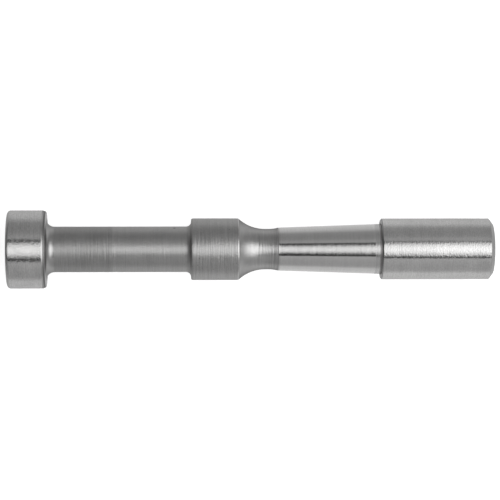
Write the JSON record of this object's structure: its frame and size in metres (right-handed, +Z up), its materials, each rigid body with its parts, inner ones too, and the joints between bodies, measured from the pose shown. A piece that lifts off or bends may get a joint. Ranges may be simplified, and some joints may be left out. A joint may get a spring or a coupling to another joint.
{
  "type": "live center with draw stem",
  "caption": "Ground steel draw stem whose cylindrical head turns on inner bearings and ends in a plug with a female center for the work.",
  "frame": {"origin": "on the axis of rotation at the gauge plane, which is the rear face of the rotating head", "axes": "+X along the axis towards the nose, +Z up"},
  "size_m": [0.1988, 0.032, 0.032],
  "materials": {
    "stem_steel": "fine turned, taper ground",
    "head_steel": "cylindrically ground",
    "plug_steel": "fine turned",
    "bearing_steel": "ground and honed",
    "ball_steel": "lapped",
    "cage_brass": "turned and drilled",
    "cage_steel": "phosphated sheet",
    "cage_polyamide": "moulded",
    "shield_steel": "pressed sheet",
    "spring_steel": "hardened, oiled black",
    "seal_rubber": "matt moulded"
  },
  "bodies": {
    "stem": {"draw_stem": "stem_steel", "rear_seal": "seal_rubber", "thrust_shaft_washer": "bearing_steel", "front_bearing_inner_ring": "bearing_steel", "preload_spring_rear": "spring_steel", "preload_spring_front": "spring_steel", "spring_support_washer": "spring_steel", "journal_circlip": "spring_steel"},
    "head": {"live_head": "head_steel", "nose_plug": "plug_steel", "nose_plug_o_ring": "seal_rubber", "thrust_housing_washer": "bearing_steel", "needle_cup": "bearing_steel", "front_bearing_outer_ring": "bearing_steel", "rear_shield": "shield_steel", "front_shield": "shield_steel"},
    "thrust_set": {"thrust_cage": "cage_brass", "thrust_balls": "ball_steel"},
    "needle_set": {"needle_cage": "cage_steel", "needle_rollers": "ball_steel"},
    "front_set": {"front_bearing_cage": "cage_polyamide", "front_bearing_balls": "ball_steel"}
  },
  "joints": [
    {"name": "head_spin", "type": "hinge", "parent": "stem", "child": "head", "pos_m": [0, 0, 0], "axis": [1, 0, 0], "continuous": true},
    {"name": "thrust_set_spin", "type": "hinge", "parent": "stem", "child": "thrust_set", "pos_m": [0.0057, 0, 0], "axis": [1, 0, 0], "continuous": true},
    {"name": "needle_set_spin", "type": "hinge", "parent": "stem", "child": "needle_set", "pos_m": [0.0145, 0, 0], "axis": [1, 0, 0], "continuous": true},
    {"name": "front_set_spin", "type": "hinge", "parent": "stem", "child": "front_set", "pos_m": [0.0273, 0, 0], "axis": [1, 0, 0], "continuous": true}
  ],
  "couplings": [
    {"joint": "thrust_set_spin", "follows": "head_spin", "ratio": 0.5},
    {"joint": "needle_set_spin", "follows": "head_spin", "ratio": 0.5714},
    {"joint": "front_set_spin", "follows": "head_spin", "ratio": 0.5846}
  ]
}
